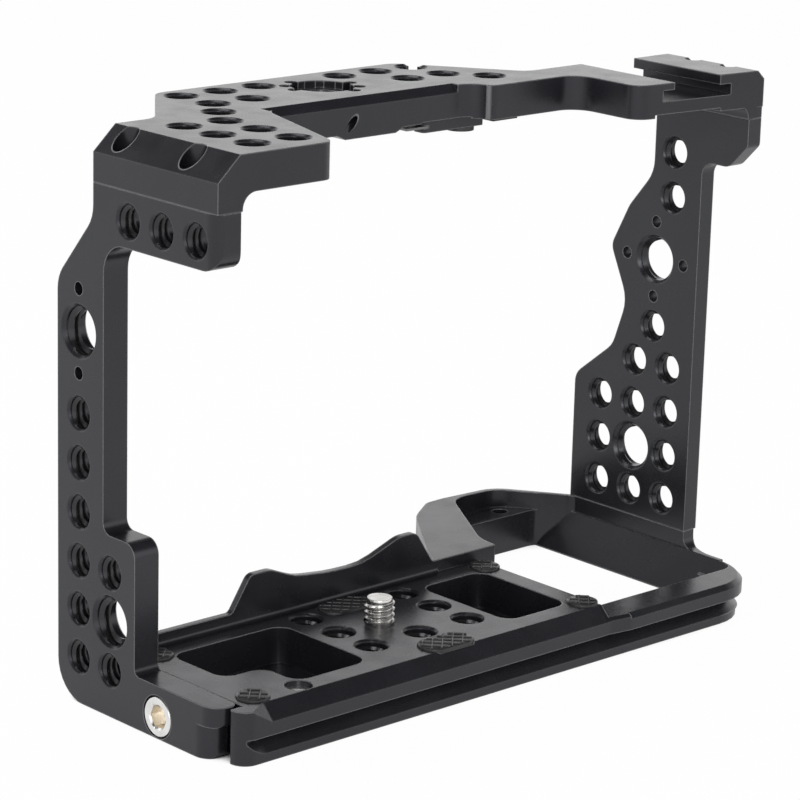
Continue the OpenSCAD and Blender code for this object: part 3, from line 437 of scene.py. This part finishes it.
arm_x, arm_y = left_x + 14.1, -1
corner_x, corner_y = left_x + 28.9, 16.9
bar_left, bar_right, bar_front = -17.4, 24.3, 34.4
bar_rear = bar_front - row_pitch
bar_end = (40.7, 17.2)
key_floor_drop = 0.9
top_holes = [(quarter_inch, (arm_x + i * row_pitch, arm_y + j * row_pitch, top_low), "z", top_t)
             for i in (0, 1) for j in (-1, 0, 1)]
top_holes.append((quarter_inch, (corner_x, corner_y, top_low), "z", top_t))
top_holes += [(quarter_inch, (x + i * row_pitch, bar_front, top_low), "z", top_t)
              for x in (bar_left, bar_right) for i in (-1, 0, 1)]
top_holes += [(quarter_inch, (x, bar_rear, top_low), "z", top_t)
              for x in (bar_left - row_pitch, bar_left, bar_right, bar_right + row_pitch)]
top_holes += [(quarter_inch, (*bar_end, top_low), "z", top_t),
              (three_eighths, (keyed_x, keyed_y, top_low), "z", top_t - key_floor_drop)]
for name, holes in (("base_threads", base_holes), ("left_threads", left_holes),
                    ("right_threads", right_holes), ("top_threads", top_holes)):
    thread_piece(name, holes, thread_black)


# Camera screw. Turned from stainless steel, with a slotted head under the base plate and a
# quarter-inch thread that stands above it; a ring under the plate keeps it captive.
def turned_steel(name, color, rough_low, rough_high, centre, fine):
    material, nodes, links = node_kit(name)
    base = nodes["Principled BSDF"]
    base.inputs["Metallic"].default_value = 1
    place = nodes.new("ShaderNodeTexCoord")
    centred = nodes.new("ShaderNodeMapping")
    centred.inputs["Location"].default_value = [-value * MM for value in centre]
    rings = nodes.new("ShaderNodeTexWave")
    rings.wave_type = "RINGS"
    rings.rings_direction = "SPHERICAL"
    rings.inputs["Scale"].default_value = fine
    rings.inputs["Distortion"].default_value = 3
    rings.inputs["Detail Scale"].default_value = 2
    links.new(place.outputs["Object"], centred.inputs["Vector"])
    links.new(centred.outputs["Vector"], rings.inputs["Vector"])
    pale = [min(1, c * 1.12) for c in color]
    links.new(tone_ramp(nodes, links, object_noise(nodes, links, 400, 3), color, pale),
              base.inputs["Base Color"])
    links.new(spread(nodes, links, object_noise(nodes, links, 700, 3), rough_low, rough_high),
              base.inputs["Roughness"])
    grain_bump(nodes, links, base, rings.outputs["Fac"], 0.12, 0.01 * MM, 0.12 * MM)
    return material


stud_x, stud_y = -1.7, 0.5
stud_core, stud_core_top = 2.5, 2.68
stud_neck_r = 2.6
stud_thread_low, stud_tip_low = 0.1, 4
ridge_r, ridge_depth, ridge_length, ridge_low = 2.45, 0.68, 6.6, -1.75
stud_steel = turned_steel("stud_steel", (0.58, 0.57, 0.55), 0.2, 0.32, (stud_x, stud_y, 0), 900)
stud_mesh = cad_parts["camera_screw"].data.copy()
stud_mesh.attributes.remove(stud_mesh.attributes["custom_normal"])
stud = bmesh.new()
stud.from_mesh(stud_mesh)
bmesh.ops.remove_doubles(stud, verts=stud.verts, dist=0.001 * MM)
stud_axis = Vector((stud_x, stud_y, 0)) * MM
for corner in stud.verts:
    from_axis = Vector((corner.co.x, corner.co.y, 0)) - stud_axis
    if corner.co.z > stud_thread_low * MM and from_axis.length > stud_neck_r * MM:
        core = (stud_core_top if corner.co.z > stud_tip_low * MM else stud_core) * MM
        corner.co = stud_axis + from_axis.normalized() * core + Vector((0, 0, corner.co.z))
winding_ridge(stud, ridge_r, quarter_pitch, ridge_depth, ridge_length,
              hole_frame((stud_x, stud_y, ridge_low), "z"), outward=True)
stud.to_mesh(stud_mesh)
stud.free()
stud_mesh.materials.clear()
stud_mesh.materials.append(stud_steel)
stud_piece = linked_piece("threaded_stud", stud_mesh, 28)
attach(stud_piece, "screw")
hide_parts("camera_screw")


# Small steel parts. The left foot's hexagon socket screw is bright and screwed into the base;
# the cap screws and the locator's are blackened, the ring and the spring strip are dull, and
# the round key magnet sits in a bore of the base plate.
foot_x, foot_y, foot_z = -61.1, -1.7, -6.4
head_inset = 0.05
socket_r, socket_turn, socket_drop, socket_depth = 2.45, 5.5, 0.3, 2
bright_screw = turned_steel("bright_screw", (0.8, 0.795, 0.78), 0.2, 0.3,
                            (foot_x, foot_y, foot_z), 700)
black_steel = turned_steel("black_steel", (0.06, 0.06, 0.062), 0.3, 0.42, (0, 0, 0), 500)
dull_steel = turned_steel("dull_steel", (0.2, 0.2, 0.2), 0.3, 0.45, (stud_x, stud_y, 0), 500)
magnet_plate = turned_steel("magnet_plate", (0.62, 0.61, 0.6), 0.18, 0.3, (-39.5, -18.2, 0), 900)
socket_steel = turned_steel("socket_steel", (0.86, 0.8, 0.7), 0.3, 0.45,
                            (foot_x, foot_y, foot_z), 700)
head = bmesh.new()
outline = [(2.62, 0), (3.85, 0), (4.0, -0.15), (4.0, -3.35), (2.0, -3.35), (2.0, -12), (0, -12)]
corners = [head.verts.new((r * MM, 0, z * MM)) for r, z in outline]
line = [head.edges.new(pair) for pair in zip(corners, corners[1:])]
bmesh.ops.spin(head, geom=corners + line, cent=(0, 0, 0), axis=(0, 0, 1), dvec=(0, 0, 0),
               angle=tau, steps=48, use_merge=True, use_duplicate=False)
bmesh.ops.remove_doubles(head, verts=head.verts, dist=0.001 * MM)
mouth = [e for e in head.edges if e.is_boundary]
hexagon = bmesh.ops.create_circle(head, cap_ends=False, segments=6, radius=socket_r * MM)["verts"]
bmesh.ops.rotate(head, cent=(0, 0, 0), matrix=Matrix.Rotation(radians(socket_turn), 3, "Z"),
                 verts=hexagon)
bmesh.ops.translate(head, vec=(0, 0, -socket_drop * MM), verts=hexagon)
sides = list({e for v in hexagon for e in v.link_edges})
bmesh.ops.bridge_loops(head, edges=mouth + sides)
deep = bmesh.ops.extrude_edge_only(head, edges=sides)["geom"]
floor_corners = [v for v in deep if isinstance(v, bmesh.types.BMVert)]
walls = [f for f in deep if isinstance(f, bmesh.types.BMFace)]
bmesh.ops.translate(head, vec=(0, 0, -socket_depth * MM), verts=floor_corners)
bottom = bmesh.ops.contextual_create(head, geom=floor_corners)["faces"]
for face in walls + bottom:
    face.material_index = 1
bmesh.ops.recalc_face_normals(head, faces=head.faces)
head_place = Matrix.Translation(Vector((foot_x + head_inset, foot_y, foot_z)) * MM)
bmesh.ops.transform(head, verts=head.verts, matrix=head_place @ Matrix.Rotation(-pi / 2, 4, "Y"))
head_mesh = bpy.data.meshes.new("foot_socket_screw")
head.to_mesh(head_mesh)
head.free()
head_mesh.materials.append(bright_screw)
head_mesh.materials.append(socket_steel)
head_piece = linked_piece("foot_socket_screw", head_mesh, 28)
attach(head_piece, "cage")
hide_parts("foot_screw")
for node, name in (("top_left_screws", "left_cap_screws"), ("top_right_screws", "right_cap_screws"),
                   ("right_foot_screws", "foot_cap_screws"), ("locator_screw", "locator_knob")):
    merged_copy(node, name, black_steel)
merged_copy("screw_retainer", "retaining_ring", dull_steel, "retainer")
merged_copy("key_magnet", "round_magnet", magnet_plate)
merged_copy("locator_spring", "spring_strip", dull_steel)


# Pads. Moulded black rubber, set in shallow seats of the base plate, with crossed ribs that
# run slantwise over the pad and grip the camera's underside. The plain one under the bar's
# right end meets the camera's top.
rubber, rubber_nodes, rubber_links = node_kit("moulded_rubber")
rubber_base = rubber_nodes["Principled BSDF"]
rubber_base.inputs["IOR"].default_value = 1.5
rubber_tone, rubber_sheen, rubber_grain = [
    object_noise(rubber_nodes, rubber_links, scale, detail)
    for scale, detail in ((300, 3), (900, 2), (2600, 3))]
rubber_links.new(tone_ramp(rubber_nodes, rubber_links, rubber_tone,
                           (0.014, 0.014, 0.015), (0.022, 0.022, 0.024)),
                 rubber_base.inputs["Base Color"])
rubber_links.new(spread(rubber_nodes, rubber_links, rubber_sheen, 0.26, 0.4),
                 rubber_base.inputs["Roughness"])
grain_bump(rubber_nodes, rubber_links, rubber_base, rubber_grain, 0.3, 0.02 * MM, 0.1 * MM)
pad_low = -0.48
rib_pitch, rib_shift, rib_inset = 2, 0.6, 0.35
rib_w, rib_h, rib_crest, shortest_rib = 0.36, 0.3, 0.6, 0.8
tick_length = 0.05


def rib_reach(offset, slant, half_run, radius):
    along = Vector((cos(slant), sin(slant)))
    across = Vector((-along.y, along.x)) * offset
    held = []
    for tick in range(-200, 201):
        spot = across + along * tick * tick_length
        if Vector((max(abs(spot.x) - half_run, 0), spot.y)).length < radius:
            held.append(tick * tick_length)
    return (held[0], held[-1]) if held else (0, 0)


def ribbed_pad(node, name, place, length, width):
    half_run = (length - width) / 2
    shape = bmesh.new()
    wall = bmesh.ops.create_circle(shape, cap_ends=False, segments=48, radius=width / 2)["verts"]
    bmesh.ops.rotate(shape, cent=(0, 0, 0), matrix=Matrix.Rotation(pi / 48, 3, "Z"), verts=wall)
    for corner in wall:
        corner.co.x += half_run if corner.co.x > 0 else -half_run
        corner.co.z = pad_low
    top_edges = list(shape.edges)
    bmesh.ops.contextual_create(shape, geom=wall)
    for rise, shrink in ((0.75, 0), (0.12, 0.05), (0.06, 0.14)):
        grown = bmesh.ops.extrude_edge_only(shape, edges=top_edges)["geom"]
        top_edges = [e for e in grown if isinstance(e, bmesh.types.BMEdge)]
        for corner in [v for v in grown if isinstance(v, bmesh.types.BMVert)]:
            middle = Vector((max(-half_run, min(half_run, corner.co.x)), 0, corner.co.z))
            corner.co -= (corner.co - middle).normalized() * shrink
            corner.co.z += rise
    bmesh.ops.contextual_create(shape, geom=top_edges)
    for slant, rib_top in ((pi / 4, 0.7), (-pi / 4, 0.68)):
        for row in range(-4, 5):
            offset = row * rib_pitch + rib_shift
            low, high = rib_reach(offset, slant, half_run, width / 2 - rib_inset)
            if high - low < shortest_rib:
                continue
            bar = bmesh.ops.create_cube(shape, size=1)["verts"]
            bmesh.ops.scale(shape, vec=(high - low, rib_w, rib_h), verts=bar)
            for corner in bar:
                if corner.co.z > 0:
                    corner.co.y *= rib_crest
            bmesh.ops.translate(shape, vec=((low + high) / 2, offset, rib_top - rib_h / 2), verts=bar)
            bmesh.ops.rotate(shape, cent=(0, 0, 0), matrix=Matrix.Rotation(slant, 3, "Z"), verts=bar)
    bmesh.ops.recalc_face_normals(shape, faces=shape.faces)
    bmesh.ops.scale(shape, vec=(MM, MM, MM), verts=shape.verts)
    bmesh.ops.translate(shape, vec=Vector((*place, 0)) * MM, verts=shape.verts)
    mesh = bpy.data.meshes.new(name)
    shape.to_mesh(mesh)
    shape.free()
    mesh.materials.append(rubber)
    piece = linked_piece(name, mesh, 38)
    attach(piece, "cage")
    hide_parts(node)


for node in ("pad_front_left", "pad_rear_left", "pad_front_right", "pad_rear_right",
             "pad_centre_front", "pad_centre_rear"):
    low_corner, high_corner = [Vector(corner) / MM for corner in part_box(node)]
    centre = (low_corner + high_corner) / 2
    ribbed_pad(node, node.replace("pad", "rubber"), (centre.x, centre.y),
               high_corner.x - low_corner.x, high_corner.y - low_corner.y)
merged_copy("arm_pad", "arm_rubber", rubber)
